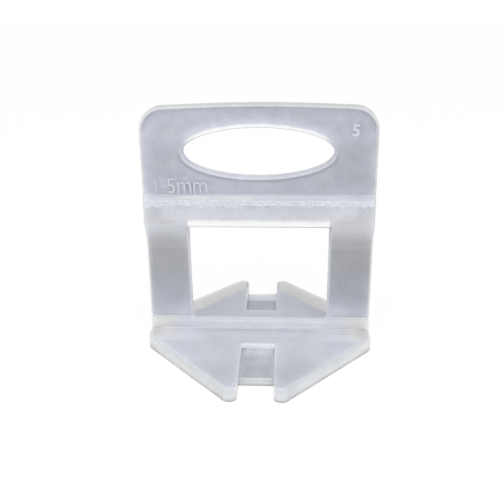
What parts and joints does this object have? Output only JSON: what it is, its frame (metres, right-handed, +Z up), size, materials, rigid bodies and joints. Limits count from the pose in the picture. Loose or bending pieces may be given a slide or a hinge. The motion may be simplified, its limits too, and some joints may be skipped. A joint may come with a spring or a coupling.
{
  "type": "tile levelling clip",
  "caption": "One-piece plastic tile levelling clip: notched base plate, spacer rib, snap-off legs, wedge window, stepped crossbar and a grip plate with an oval finger hole.",
  "frame": {"origin": "centre of the base plate's underside", "axes": "+X along the joint between the tiles, +Y across the joint away from the blade's stepped face, +Z up the blade"},
  "size_m": [0.0392, 0.0406, 0.0428],
  "materials": {
    "natural_polypropylene": "translucent, softly glossy as moulded"
  },
  "bodies": {
    "root": {"levelling_clip": "natural_polypropylene"}
  },
  "joints": []
}
